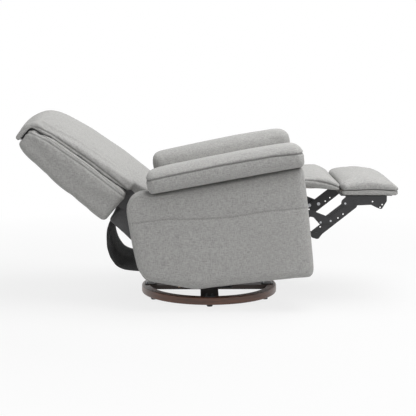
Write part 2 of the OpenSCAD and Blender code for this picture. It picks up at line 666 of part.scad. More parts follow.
shell_x0 = split_x - shell_d;
stile_x = split_x - stile_d - 18;
back_top_frame = shell_z1 - 66;
module back_stiles() color(pine) on_back() both()
    translate([stile_x, layer_a - stile_w, 4]) cube([stile_d, stile_w, back_top_frame - 4]);
module back_crossbars() color(pine) on_back() for (z = [shell_z0 + 6, (shell_z0 + back_top_frame) / 2, back_top_frame - 48])
    translate([stile_x, -layer_a + stile_w, z]) cube([rail_t, 2 * (layer_a - stile_w), 48]);
module back_webbing() color(black_cloth) on_back() for (i = [0 : 5])
    translate([stile_x + stile_d, -layer_a, shell_z0 + 16 + i * 66]) cube([web_t, 2 * layer_a, 44]);
shell_shape = [[shell_x0 + 5, shell_z0, 14], [split_x, shell_z0, 36], [split_x - 3, 320, 300], [split_x - 14, 500, 160],
               [split_x - 44, shell_z1 - 2, 34], [shell_x0 + 16, shell_z1, 22], [shell_x0 - 2, 350, 700]];
module back_shell() color(fabric) on_back() difference() {
    pad(shell_shape, shell_hw, 24, 4, 6, 3, 0.55, 4);
    translate([stile_x - 0.3, -plate_in, shell_z0 - 40]) cube([200, 2 * plate_in, back_top_frame + 44 - shell_z0]);
}
wide_from = 165;
back_edge = 20;
back_steps = 3;
// Corners of the back cushion's side outline, its foot at the height z
function back_shape(z) = [[split_x, z, 10], [split_x + back_d, z, 16], [split_x + back_d + 2, 235, 300],
    [split_x + 96, 400, 500], [split_x + 66, 545, 120], [split_x + 20, 612, 60], [split_x - 60, 614, 100],
    [shell_x0 + 24, 603, 14], [shell_x0 + 26, shell_z1 + 4, 10], [split_x - 40, shell_z1 + 2, 30],
    [split_x - 10, 500, 160], [split_x, 320, 300]];
// The back cushion's sections as [y, part, step]: part 0 is the middle, 1 and 2 are the two rounded edges,
// and a shoulder between them keeps its wide part clear of the arm pads
function edge_steps(half, part) = [for (i = [0 : back_steps]) [half - back_edge * (1 - sin(90 * i / back_steps)), part, i]];
back_sections = concat([[0, 0, 0]], edge_steps(back_low_hw, 1),
    [[back_low_hw + 5, 2, 0]], edge_steps(back_hw, 2));
// Outline of one section: drawn in at the edges, and lifted clear of the arms in its wide part
function back_section(h) =
    let (e = h[1] > 0 ? back_edge * 0.5 * (1 - cos(90 * h[2] / back_steps)) : 0)
    outline(inset(back_shape(h[1] == 2 ? wide_from : 30 + e), 4 * pow(h[0] / back_hw, 2) + (h[1] == 2 ? e : 0)), 4);
module back_cushion() color(fabric) on_back() loft(
    concat([for (i = [len(back_sections) - 1 : -1 : 1]) back_section(back_sections[i])],
           [for (h = back_sections) back_section(h)]),
    concat([for (i = [len(back_sections) - 1 : -1 : 1]) -back_sections[i][0]], [for (h = back_sections) h[0]]));
tail_t = 2.3;
tail_front = stile_x + stile_d + 3;
tail_shape = [[shell_x0 - 1, -30, 14], [tail_front, -30, 14], [tail_front, shell_z0 - 0.3, 5], [shell_x0 + 8, shell_z0 - 0.3, 6]];
// Its cheeks reach forward over the stiles and the hinge arms
module back_tail() color(fabric_dark) on_back() difference() {
    pad(tail_shape, tail_hw, 3, 0, 2, 3, 0.3);
    translate([stile_x - 0.3, -tail_hw + tail_t, -40]) cube([200, 2 * (tail_hw - tail_t), 200]);
}
foot_roll_r = hinge_x * -1 + deck_x0 - 4;
foot_roll = [-42, 28.6];
module back_foot_roll() color(fabric) on_back() across(-layer_a + 4, layer_a - 4) difference() {
    polygon(concat([for (i = [0 : 20]) polar(foot_roll_r, foot_roll[0] + (foot_roll[1] - foot_roll[0]) * i / 20)],
                   [[10, foot_roll_r * sin(foot_roll[1])], [0, 20]]));
    circle(r = foot_roll_r - 24);
}
bracket_arm = [[0, 0], [stile_x + 26, 8], [stile_x + 26, 150]];
module back_brackets() color(steel) on_back() both() across(layer_a, layer_a + link_t) difference() {
    strip(bracket_arm, 34);
    circle(r = hinge_r + pin_play);
    holes([[stile_x + 26, 70], [stile_x + 26, 140]], 4);
}

// Rear cover and release strap

cover_path = [[-376, 304], [-389, 250], [-392, 209], [-385, 169], [-366, 132], [-339, 114], [-300, 104], [-262, low_rail[1] - cover_t / 2 - 0.3], [-220, low_rail[1] - cover_t / 2 - 0.3]];
module rear_cover() color(black_cloth) on_body() across(-cover_hw, cover_hw) strip(cover_path, cover_t, 3);

strap_x = 236;
strap_z = [deck_front + 6, 474];
module release_strap() color(black_cloth) on_body() across(-seat_hw - 0.6 - strap_t, -seat_hw - 0.6) difference() {
    polygon(outline([[strap_x - strap_w / 2, strap_z[0], 4], [strap_x + strap_w / 2, strap_z[0], 4],
                     [strap_x + strap_w / 2, strap_z[1], 11], [strap_x - strap_w / 2, strap_z[1], 11]]));
    translate([strap_x, strap_z[1] - 18]) circle(r = strap_w / 2 - 7);
}

base_ring();
cross_board_long();
cross_board_wide();
ring_tabs();
glide_feet();
base_screws();
swivel_base_plate();
lower_race();
bearing_balls();
king_bolt();
upper_race();
swivel_cradle();
tilt_shaft();
tilt_bumpers();
tilt_bracket();
tilt_bushes();
front_cross_rail();
rear_cross_rail();
rear_low_rail();
side_rail_left();
side_rail_right();
spring_rail_front();
spring_rail_rear();
seat_webbing();
seat_cushion();
arm_board_left();
arm_board_right();
arm_panel_left();
arm_panel_right();
arm_pad_left();
arm_pad_right();
side_plate_left();
side_plate_right();
crank_pivot_pins();
back_hinge_pins();
rear_cover();
release_strap();
back_stiles();
back_crossbars();
back_webbing();
back_shell();
back_cushion();
back_foot_roll();
back_tail();
back_brackets();
torque_tube();
front_crank_left();
front_crank_right();
front_crank_rivets();
rear_crank_left();
rear_crank_right();
main_link_left();
main_link_right();
upper_bar_left();
upper_bar_right();
footrest_brackets();
footrest_rivets();
footrest_board();
footrest_pad();
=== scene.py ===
"""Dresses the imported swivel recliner: upholstery, seams, steel, wood and the studio round it."""
import json
import math
from collections import namedtuple
from functools import cache

import bmesh
import bpy
import numpy as np
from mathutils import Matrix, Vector
from mathutils.bvhtree import BVHTree


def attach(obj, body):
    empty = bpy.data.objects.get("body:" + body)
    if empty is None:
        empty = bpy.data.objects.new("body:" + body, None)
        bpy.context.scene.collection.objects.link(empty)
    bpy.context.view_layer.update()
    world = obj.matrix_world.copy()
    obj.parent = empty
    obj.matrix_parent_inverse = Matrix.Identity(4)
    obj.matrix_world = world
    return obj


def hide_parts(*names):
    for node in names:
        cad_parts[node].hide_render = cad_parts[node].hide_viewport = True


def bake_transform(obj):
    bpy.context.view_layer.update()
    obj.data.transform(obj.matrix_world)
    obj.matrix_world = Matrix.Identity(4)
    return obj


bl_info = {
    "name": "Swivel recliner",
    "version": (1, 0, 0),
    "blender": (4, 5, 0),
    "location": "View3D > Sidebar > Recliner",
    "description": "Upholstery, seams, steelwork and studio for the swivel recliner",
    "category": "Object",
}

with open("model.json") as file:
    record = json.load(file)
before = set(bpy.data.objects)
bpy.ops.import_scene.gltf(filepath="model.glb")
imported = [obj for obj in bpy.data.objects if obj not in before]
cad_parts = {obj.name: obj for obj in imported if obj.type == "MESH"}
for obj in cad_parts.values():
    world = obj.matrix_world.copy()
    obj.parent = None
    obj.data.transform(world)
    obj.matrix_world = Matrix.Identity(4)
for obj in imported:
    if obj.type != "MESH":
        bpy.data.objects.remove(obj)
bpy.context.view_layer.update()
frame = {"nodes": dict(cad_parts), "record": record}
NODES = frame["nodes"]

# Frames of the moving bodies, with the values of the solids (metres, and degrees for angles)
BODY_TILT, BACK_LEAN = 7.0, 43.0
TILT_AXIS, BACK_HINGE, CRANK_PIVOT = (0.010, 0.072), (-0.145, 0.376), (0.353, 0.266)
# Length and direction from the crank's pivot to its end, and from there to the footrest's pin
CRANK_REACH, LINK_REACH = (0.155, -22.0), (0.122, 31.0)


def polar(r, a):
    return np.array([r * math.cos(math.radians(a)), r * math.sin(math.radians(a))])


FOOT_PIVOT = np.array(CRANK_PIVOT) + polar(*CRANK_REACH) + polar(*LINK_REACH)


def turn(xz, angle):
    """Turns x, z pairs by an angle in degrees, x towards z."""
    c, s = math.cos(math.radians(angle)), math.sin(math.radians(angle))
    return np.stack([xz[:, 0] * c - xz[:, 1] * s, xz[:, 0] * s + xz[:, 1] * c], 1)


def swap(co, xz):
    """The points with their x and z exchanged for new ones."""
    out = np.array(co, float)
    out[:, 0], out[:, 2] = xz[:, 0], xz[:, 1]
    return out


def to_body(co):
    return swap(co, turn(co[:, [0, 2]] - np.array(TILT_AXIS), -BODY_TILT))


def from_body(co):
    return swap(co, turn(co[:, [0, 2]], BODY_TILT) + np.array(TILT_AXIS))


def to_back(co):
    b = to_body(co)
    return swap(b, turn(b[:, [0, 2]] - np.array(BACK_HINGE), -BACK_LEAN))


def from_back(co):
    return from_body(swap(co, turn(co[:, [0, 2]], BACK_LEAN) + np.array(BACK_HINGE)))


def to_foot(co):
    b = to_body(co)
    return swap(b, turn(b[:, [0, 2]] - FOOT_PIVOT, BODY_TILT))


def rising(v, low, high):
    """Zero up to low, one from high, and smooth between them."""
    t = np.clip((v - low) / (high - low), 0, 1)
    return t * t * (3 - 2 * t)


def falling(v, low, high):
    """One up to low, zero from high, and smooth between them."""
    return rising(-v, -high, -low)


def everywhere(co):
    return np.ones(len(co))


def nowhere(co):
    return np.zeros(len(co))


# Settings that a user would change


class ReclinerSizes(bpy.types.PropertyGroup):
    stitch_pitch: bpy.props.FloatProperty(
        name="Stitch pitch", description="Distance from one stitch to the next",
        default=0.0065, min=0.003, max=0.02, unit="LENGTH")
    stitch_length: bpy.props.FloatProperty(
        name="Stitch length", description="Length of one stitch",
        default=0.0042, min=0.002, max=0.015, unit="LENGTH")
    stitch_radius: bpy.props.FloatProperty(
        name="Stitch radius", description="Half the thickness of the sewing thread",
        default=0.0006, min=0.0003, max=0.002, unit="LENGTH")
    welt_radius: bpy.props.FloatProperty(
        name="Welt radius", description="Half the thickness of the cord sewn into the edges",
        default=0.0026, min=0.001, max=0.008, unit="LENGTH")
    seam_depth: bpy.props.FloatProperty(
        name="Seam depth", description="How deep a seam is drawn into the padding",
        default=0.0050, min=0.0, max=0.012, unit="LENGTH")
    seam_width: bpy.props.FloatProperty(
        name="Seam width", description="Half width of the hollow along a seam",
        default=0.0045, min=0.003, max=0.02, unit="LENGTH")
    pucker: bpy.props.FloatProperty(
        name="Pucker", description="Height of the small gathers beside a seam",
        default=0.0011, min=0.0, max=0.004, unit="LENGTH")


class ReclinerColours(bpy.types.PropertyGroup):
    cloth: bpy.props.FloatVectorProperty(
        name="Cloth", description="Base colour of the upholstery cloth",
        default=(0.345, 0.342, 0.333), min=0.0, max=1.0, size=3, subtype="COLOR")
    lining: bpy.props.FloatVectorProperty(
        name="Lining", description="Colour of the dark lining under the back",
        default=(0.115, 0.115, 0.117), min=0.0, max=1.0, size=3, subtype="COLOR")
    enamel: bpy.props.FloatVectorProperty(
        name="Enamel", description="Colour of the enamelled steel",
        default=(0.022, 0.022, 0.024), min=0.0, max=1.0, size=3, subtype="COLOR")
    walnut: bpy.props.FloatVectorProperty(
        name="Walnut", description="Colour of the base ring's wood",
        default=(0.120, 0.052, 0.031), min=0.0, max=1.0, size=3, subtype="COLOR")


def sizes():
    return bpy.context.scene.recliner_sizes


# Nodes


def feed(tree, node, inputs):
    """Links a node's inputs, given by name or number, to sockets, or sets their constants."""
    for key, value in inputs.items():
        if hasattr(value, "is_output"):
            tree.links.new(value, node.inputs[key])
        else:
            node.inputs[key].default_value = value


def add_node(tree, kind, inputs=None, **settings):
    node = tree.nodes.new(kind)
    for key, value in settings.items():
        setattr(node, key, value)
    feed(tree, node, inputs or {})
    return node


def group_of(name, inputs, outputs, kind="ShaderNodeTree"):
    """A node group with sockets given as name and sort: the tree, its inputs and its output node."""
    tree = bpy.data.node_groups.new(name, kind)
    for way, sockets in (("INPUT", inputs), ("OUTPUT", outputs)):
        for label, sort in sockets.items():
            tree.interface.new_socket(label, in_out=way, socket_type="NodeSocket" + sort)
    return tree, tree.nodes.new("NodeGroupInput").outputs, tree.nodes.new("NodeGroupOutput")


def math_node(tree, op, a, b, clamp=False):
    return add_node(tree, "ShaderNodeMath", {0: a, 1: b}, operation=op, use_clamp=clamp).outputs[0]


def noise(tree, vector, scale=1.0, detail=2.0, rough=0.5):
    return add_node(tree, "ShaderNodeTexNoise", {
        "Vector": vector, "Scale": scale, "Detail": detail, "Roughness": rough}).outputs["Fac"]


def stretched(tree, vector, scale):
    return add_node(tree, "ShaderNodeVectorMath", {0: vector, 1: scale}, operation="MULTIPLY").outputs[0]


def scaled(tree, vector, scale):
    return add_node(tree, "ShaderNodeVectorMath", {0: vector, "Scale": scale}, operation="SCALE").outputs[0]


def mix_colour(tree, share, a, b):
    """The colour a, or b where share is one: each is a socket or a colour."""
    a, b = (v if hasattr(v, "is_output") else (*v, 1.0) for v in (a, b))
    return add_node(tree, "ShaderNodeMix", {0: share, 6: a, 7: b}, data_type="RGBA").outputs[2]


def ramp(tree, value, low, high, out_low=0.0, out_high=1.0):
    return add_node(tree, "ShaderNodeMapRange", {
        "Value": value, "From Min": low, "From Max": high, "To Min": out_low, "To Max": out_high}).outputs["Result"]


# Shader groups that the materials share

SURFACE = {"Color": "Color", "Height": "Float", "Roughness": "Float"}


@cache
def weave_group():
    """Slubby plain weave: threads along each axis, thick and thin, with a fleck in the yarn."""
    g, given, out = group_of("Linen weave", {
        "Vector": "Vector", "Threads per metre": "Float", "Dark yarn": "Color", "Light yarn": "Color",
        "Fleck": "Float"}, SURFACE)
    p = scaled(g, given["Vector"], given["Threads per metre"])
    drawn = 0.09
    threads = [noise(g, stretched(g, p, v), detail=1.0, rough=0.4)
               for v in ((drawn, 1.0, 1.0), (1.0, drawn, 1.0), (1.0, 1.0, drawn))]
    top = math_node(g, "MAXIMUM", math_node(g, "MAXIMUM", threads[0], threads[1]), threads[2])
    height = ramp(g, top, 0.42, 0.72)
    slub = noise(g, stretched(g, p, (0.16, 0.16, 0.34)))
    cloud = noise(g, given["Vector"], scale=150.0, detail=3.0, rough=0.6)

    def swing(value, reach, share):
        """How far a noise is from its middle, times its share of the tone."""
        return math_node(g, "MULTIPLY", ramp(g, value, 0.5 - reach, 0.5 + reach, -0.5, 0.5), share)

    tone = math_node(g, "ADD", swing(threads[0], 0.15, 0.5), swing(threads[2], 0.15, 0.5))
    tone = math_node(g, "MULTIPLY", tone, given["Fleck"])
    for part in (swing(slub, 0.2, 0.30), swing(cloud, 0.2, 0.16), math_node(g, "MULTIPLY", height, 0.45)):
        tone = math_node(g, "ADD", tone, part)
    light = math_node(g, "ADD", tone, 0.35, clamp=True)
    feed(g, out, {"Color": mix_colour(g, light, given["Dark yarn"], given["Light yarn"]), "Height": height,
                  "Roughness": ramp(g, light, 0.0, 1.0, 0.93, 0.84)})
    return g


@cache
def grain_group():
    """Straight wood grain along one direction, with pores."""
    g, given, out = group_of("Wood grain", {
        "Vector": "Vector", "Stretch": "Vector", "Dark": "Color", "Light": "Color"}, SURFACE)
    p = stretched(g, given["Vector"], given["Stretch"])
    bands = noise(g, p, detail=4.0, rough=0.6)
    pore = ramp(g, noise(g, stretched(g, p, (2.0, 9.0, 9.0))), 0.58, 0.68)
    light = math_node(g, "SUBTRACT", ramp(g, bands, 0.3, 0.7), math_node(g, "MULTIPLY", pore, 0.5), clamp=True)
    feed(g, out, {"Color": mix_colour(g, light, given["Dark"], given["Light"]),
                  "Height": math_node(g, "SUBTRACT", 1.0, pore),
                  "Roughness": ramp(g, bands, 0.3, 0.7, 0.34, 0.5)})
    return g


@cache
def wear_group():
    """Mask of fine scuffs, dust and handling marks for metal, rubber and paint."""
    g, given, out = group_of("Scuffs", {"Vector": "Vector", "Scale": "Float"}, {"Mask": "Float", "Height": "Float"})
    p = scaled(g, given["Vector"], given["Scale"])
    broad, fine = noise(g, p, detail=4.0, rough=0.6), noise(g, p, scale=14.0)
    mask = math_node(g, "MULTIPLY", ramp(g, broad, 0.5, 0.75), ramp(g, fine, 0.35, 0.65))
    feed(g, out, {"Mask": mask, "Height": fine})
    return g


def new_material(name, group, values):
    """A material fed by a shared group: it, its tree, its shader and the group's sockets."""
    m = bpy.data.materials.new(name)
    m.use_nodes = True
    t = m.node_tree
    t.nodes.clear()
    bsdf = add_node(t, "ShaderNodeBsdfPrincipled")
    add_node(t, "ShaderNodeOutputMaterial", {0: bsdf.outputs[0]})
    at = add_node(t, "ShaderNodeTexCoord").outputs["Object"]
    return m, t, bsdf, add_node(t, "ShaderNodeGroup", {"Vector": at, **values}, node_tree=group).outputs


def bumped(t, height, strength, distance):
    return add_node(t, "ShaderNodeBump", {
        "Height": height, "Strength": strength, "Distance": distance}).outputs[0]


def two_tones(colour, contrast):
    """A darker and a lighter version of a colour."""
    c = np.array(colour)
    return (*(c * (1 - contrast)), 1), (*np.minimum(c * (1 + contrast), 1), 1)


def cloth_material(name, colour, threads=720.0, fleck=0.6, contrast=0.27, sheen=0.12, bump=0.4):
    """Woven cloth, with painted shade where a seam's crease was marked on the mesh."""
    # How strongly, and with what dark tone, the painted shade in a seam's crease darkens the cloth
    seam_shade_strength, seam_shade_tone = 0.62, 0.16
    dark, light = two_tones(colour, contrast)
    m, t, bsdf, weave = new_material(name, weave_group(), {
        "Threads per metre": threads, "Fleck": fleck, "Dark yarn": dark, "Light yarn": light})
    # The crease attribute holds the painted shade along the seams
    crease = add_node(t, "ShaderNodeAttribute", attribute_name="crease").outputs["Fac"]
    share = math_node(t, "MULTIPLY", crease, seam_shade_strength, clamp=True)
    feed(t, bsdf, {"Base Color": mix_colour(t, share, weave["Color"], np.array(colour) * seam_shade_tone),
                   "Roughness": weave["Roughness"], "Specular IOR Level": 0.2,
                   "Sheen Weight": sheen, "Sheen Roughness": 0.45,
                   "Normal": bumped(t, weave["Height"], bump, 0.0006)})
    return m


def wood_material(name, colour, stretch, contrast, coat, bump=0.25):
    dark, light = two_tones(colour, contrast)
    m, t, bsdf, grain = new_material(name, grain_group(), {"Stretch": stretch, "Dark": dark, "Light": light})
    feed(t, bsdf, {"Base Color": grain["Color"], "Roughness": grain["Roughness"],
                   "Coat Weight": coat, "Coat Roughness": 0.25,
                   "Normal": bumped(t, grain["Height"], bump, 0.0004)})
    return m


def hard_material(name, colour, worn, rough, metallic, scale, amount, bump=0.15):
    """Metal, paint or rubber whose scuffs show the worn colour and a rougher face."""
    m, t, bsdf, wear = new_material(name, wear_group(), {"Scale": scale})
    share = math_node(t, "MULTIPLY", wear["Mask"], amount, clamp=True)
    feed(t, bsdf, {"Base Color": mix_colour(t, share, colour, worn), "Metallic": metallic,
                   "Roughness": ramp(t, wear["Mask"], 0.0, 1.0, rough, min(rough + 0.25, 1.0)),
                   "Normal": bumped(t, wear["Height"], bump, 0.0002)})
    return m


@cache
def materials():
    """The finish of each material slot, and those of the thread and the welts."""
    c = bpy.context.scene.recliner_colours
    cloth = np.array(c.cloth)
    return {
        "grey_upholstery": cloth_material("upholstery cloth", cloth),
        "sewing_thread": cloth_material(
            "sewing thread", cloth * 0.62, threads=3000.0, fleck=0.2, contrast=0.1, sheen=0.1, bump=0.2),
        "welt_cloth": cloth_material("welt cloth", cloth * 1.08, threads=760.0, fleck=0.4, contrast=0.16),
        "dark_grey_lining": cloth_material(
            "lining cloth", c.lining, threads=900.0, fleck=0.4, contrast=0.2, sheen=0.2, bump=0.35),
        "black_dust_cloth": cloth_material(
            "dust cloth", (0.011, 0.011, 0.012), threads=1100.0, contrast=0.3, sheen=0.3),
        "black_webbing": cloth_material(
            "webbing", (0.03, 0.03, 0.03), threads=500.0, fleck=0.4, contrast=0.3, sheen=0.2, bump=0.6),
        "black_steel": hard_material(
            "enamelled steel", c.enamel, (0.10, 0.10, 0.10), rough=0.38, metallic=0.0, scale=60.0, amount=0.35),
        "zinc_steel": hard_material(
            "zinc plate", (0.48, 0.49, 0.51), (0.30, 0.30, 0.30), rough=0.34, metallic=1.0, scale=90.0, amount=0.5),
        "black_rubber": hard_material(
            "moulded rubber", (0.018, 0.018, 0.018), (0.07, 0.07, 0.068), rough=0.7, metallic=0.0, scale=70.0,
            amount=0.5),
        "walnut_ring": wood_material("walnut", c.walnut, (9.0, 9.0, 110.0), contrast=0.42, coat=0.35),
        "dark_stained_board": wood_material(
            "stained board", (0.05, 0.033, 0.027), (8.0, 60.0, 60.0), contrast=0.4, coat=0.1),
        "pine": wood_material("pine", (0.62, 0.44, 0.26), (60.0, 5.0, 60.0), contrast=0.2, coat=0.0),
        "plywood": wood_material("plywood", (0.56, 0.40, 0.25), (6.0, 300.0, 14.0), contrast=0.25, coat=0.0),
    }


def set_material(o, name):
    finish = materials()[name]
    if len(o.data.materials) == 0:
        o.data.materials.append(finish)
    for i in range(len(o.data.materials)):
        o.data.materials[i] = finish


# Mesh helpers


def read(items, key, width, kind=np.float32):
    """A value of each vertex or edge, as an array of rows."""
    out = np.empty(len(items) * width, kind)
    items.foreach_get(key, out)
    return out.reshape(-1, width)


def coords(o):
    return read(o.data.vertices, "co", 3).astype(float)


def normals(o):
    return read(o.data.vertices, "normal", 3).astype(float)


def edge_pairs(o):
    return read(o.data.edges, "vertices", 2, np.int32)


def set_coords(o, co):
    o.data.vertices.foreach_set("co", np.asarray(co, np.float32).ravel())
    o.data.update()


def evaluated(o):
    """The object's mesh with its modifiers taken in."""
    return bpy.data.meshes.new_from_object(o.evaluated_get(bpy.context.evaluated_depsgraph_get()))


def settle(o):
    """Replaces the object's mesh by the evaluated one and drops the modifiers."""
    mesh = evaluated(o)
    o.modifiers.clear()
    o.data = mesh


def new_object(name, verts, edges, faces):
    mesh = bpy.data.meshes.new(name)
    mesh.from_pydata([tuple(v) for v in verts], edges, faces)
    o = bpy.data.objects.new(name, mesh)
    bpy.context.scene.collection.objects.link(o)
    return o


def copy_node(node, name):
    """A merged copy of a CAD node's mesh as a new object."""
    o = new_object(name, [], [], [])
    bm = bmesh.new()
    bm.from_mesh(NODES[node].data)
    bmesh.ops.remove_doubles(bm, verts=bm.verts, dist=1e-5)
    bm.to_mesh(o.data)
    bm.free()
    return o


def grid_faces(rows, columns, rings=False):
    """Quads between neighbouring points of a grid, each row a closed ring if asked."""
    return [(i * columns + j, i * columns + (j + 1) % columns,
             (i + 1) * columns + (j + 1) % columns, (i + 1) * columns + j)
            for i in range(rows - 1) for j in range(columns if rings else columns - 1)]


def tube(name, points, columns, triangles=False):
    """A closed mesh through rings of so many points each, both ends shut and its normals outwards."""
    count = len(points)
    faces = grid_faces(count // columns, columns, rings=True)
    faces += [tuple(range(columns - 1, -1, -1)), tuple(range(count - columns, count))]
    o = new_object(name, points, [], faces)
    bm = bmesh.new()
    bm.from_mesh(o.data)
    if triangles:
        bmesh.ops.triangulate(bm, faces=bm.faces)
    bmesh.ops.recalc_face_normals(bm, faces=bm.faces)
    bm.to_mesh(o.data)
    bm.free()
    return o


def averaged(field, ev, times, keep=0.4):
    """A value at each vertex evened out over the neighbours."""
    count = np.bincount(ev.ravel(), minlength=len(field))[:, None]
    for _ in range(times):
        total = np.zeros_like(field)
        np.add.at(total, ev[:, 0], field[ev[:, 1]])
        np.add.at(total, ev[:, 1], field[ev[:, 0]])
        field = keep * field + (1 - keep) * total / np.maximum(count, 1)
    return field


def relax(o, times):
    m = o.modifiers.new("smooth", "SMOOTH")
    m.iterations = times
    m.factor = 0.5
    settle(o)


def remesh(o, size):
    """Remeshes the piece evenly, evens out the steps, and draws it back on to its first faces."""
    tree = BVHTree.FromPolygons([v.co.copy() for v in o.data.vertices], [list(f.vertices) for f in o.data.polygons])
    m = o.modifiers.new("remesh", "REMESH")
    m.mode = "VOXEL"
    m.voxel_size = size
    settle(o)
    relax(o, 3)
    co = coords(o)
    away = np.array([tree.find_nearest(Vector(q))[0] for q in co]) - co
    set_coords(o, co + averaged(away, edge_pairs(o), 4))


def subdivide(o):
    m = o.modifiers.new("subdivide", "SUBSURF")
    m.levels = m.render_levels = 1
    settle(o)


# Seams

# Waves in a surface: a full turn of phase, and what brings a sum of them to about one
PHASES, WAVE_SUM = 6.28, 2.2
# Gathers beside a seam: their place and width, in seam widths, and their waves
GATHER_AT, GATHER_WIDE, GATHER_PACES = 2.2, 1.6, (150.0, 233.0, 371.0, 91.0)
ALONG_ANY_SEAM = np.array([1.0, 0.83, 0.4])

# Stitches and welts run at the given distances beside the line where value is zero
Seam = namedtuple("Seam", "value depth stitching where welts pucker wide",
                  defaults=(1.0, (0.0,), everywhere, (), 1.0, 1.0))


def run_lengths(points):
    """Distance of each point from the first one, along the line."""
    return np.concatenate([[0], np.cumsum(np.linalg.norm(np.diff(points, axis=0), axis=1))])


def points_at(points, at):
    """The points at the given distances along a line."""
    return np.stack([np.interp(at, run_lengths(points), axis) for axis in points.T], 1)


def smoothed(line):
    """An open line with each inner point drawn towards its neighbours."""
    return np.vstack([line[:1], (line[:-2] + 2 * line[1:-1] + line[2:]) / 4, line[-1:]])


def evened(points, closed, step=0.006):
    """The run of points spaced evenly and smoothed."""
    p = np.vstack([points, points[:1]]) if closed else points
    length = run_lengths(p)[-1]
    q = points_at(p, np.linspace(0, length, max(int(length / step), 6), endpoint=not closed))
    for _ in range(2):
        q = (np.roll(q, 1, 0) + 2 * q + np.roll(q, -1, 0)) / 4 if closed else smoothed(q)
    return q


def seam_lines(o, value, use):
    """Closed or open runs of points where value, given at the vertices, passes through zero."""
    fewest = 7
    co, ev = coords(o), edge_pairs(o)
    a, b = value[ev].T
    cut = ((a > 0) != (b > 0)) & use[ev].all(1)
    t = np.where(cut, a / np.where(cut, a - b, 1.0), 0.0)[:, None]
    at = co[ev[:, 0]] * (1 - t) + co[ev[:, 1]] * t
    links = {}
    for face in o.data.polygons:
        ends = [e for e in (o.data.loops[k].edge_index for k in face.loop_indices) if cut[e]]
        if len(ends) == 2:
            links.setdefault(ends[0], []).append(ends[1])
            links.setdefault(ends[1], []).append(ends[0])
    runs, used = [], set()
    for start in [e for e in links if len(links[e]) == 1] + list(links):
        if start in used:
            continue
        run, following = [], start
        while following is not None:
            run.append(following)
            used.add(following)
            following = next((e for e in links[following] if e not in used), None)
        if len(run) >= fewest:
            runs.append((at[run], start in links[run[-1]]))
    return runs


def snap(o, value, reach=0.0008):
    """Slides the points that lie near a seam on to its line, along the surface."""
    step, flattest = 1e-4, 0.1
    co, n = coords(o), normals(o)
    v = value(co)
    slope = np.stack([(value(co + axis) - v) / step for axis in np.eye(3) * step], 1)
    slope -= n * (slope * n).sum(1, keepdims=True)
    square = (slope ** 2).sum(1)
    move = (np.abs(v) < reach) & (square > flattest)
    co[move] -= slope[move] * (v[move] / square[move])[:, None]
    set_coords(o, co)


def score(o, value, where):
    """Cuts the mesh along the line where value is zero, so that a crease can follow it."""
    on_line_within, sewn_from = 3e-5, 0.02
    snap(o, value)
    co, ev = coords(o), edge_pairs(o)
    v, use = value(co), where(co) > sewn_from
    on_line = (np.abs(v) < on_line_within) & use
    a, b = v[ev].T
    cut = (a * b < 0) & (use & ~on_line)[ev].all(1)
    bm = bmesh.new()
    bm.from_mesh(o.data)
    bm.verts.ensure_lookup_table()
    bm.edges.ensure_lookup_table()
    points = [bm.verts[i] for i in np.nonzero(on_line)[0].tolist()]
    crossings = [(bm.edges[i], bm.verts[int(ev[i, 0])], float(a[i] / (a[i] - b[i])))
                 for i in np.nonzero(cut)[0].tolist()]
    points += [bmesh.utils.edge_split(*crossing)[1] for crossing in crossings]
    chosen = set(points)
    for face in sorted({f for p in points for f in p.link_faces}, key=lambda f: f.index):
        ends = [p for p in face.verts if p in chosen]
        if len(ends) == 2 and not any(e.other_vert(ends[0]) is ends[1] for e in ends[0].link_edges):
            bmesh.utils.face_split(face, *ends)
    bm.to_mesh(o.data)
    bm.free()
    o.data.update()


def draw_in(o, seam, seed):
    """Draws the surface in along a seam, with small gathers beside it."""
    s, co = sizes(), coords(o)
    away, width = seam.value(co), s.seam_width * seam.wide
    hollow = np.exp(-(away / width) ** 2)
    beside = np.exp(-((np.abs(away) - GATHER_AT * width) / (GATHER_WIDE * width)) ** 2)
    rng = np.random.default_rng(seed)
    wave = sum(np.sin(co @ ALONG_ANY_SEAM * f + rng.uniform(0, PHASES)) for f in GATHER_PACES) / WAVE_SUM
    push = s.seam_depth * seam.depth * hollow - s.pucker * seam.pucker * beside * np.clip(wave, -1, 1)
    set_coords(o, co - normals(o) * (push * seam.where(co))[:, None])


def paint_seam_shade(o, seams):
    """Stores how near each point is to a seam's line, as painted shade in the seam's crease."""
    co, width = coords(o), sizes().seam_width
    near = np.zeros(len(co))
    for seam in seams:
        if seam.stitching:
            closeness = np.clip(1 - np.abs(seam.value(co)) / width, 0, 1)
            near = np.maximum(near, seam.where(co) * seam.depth * closeness)
    # The crease attribute carries this painted shade to the cloth
    field = o.data.attributes.new("crease", "FLOAT", "POINT")
    field.data.foreach_set("value", near.astype(np.float32))


# Geometry Nodes: stitches along a seam, and a round welt along an edge


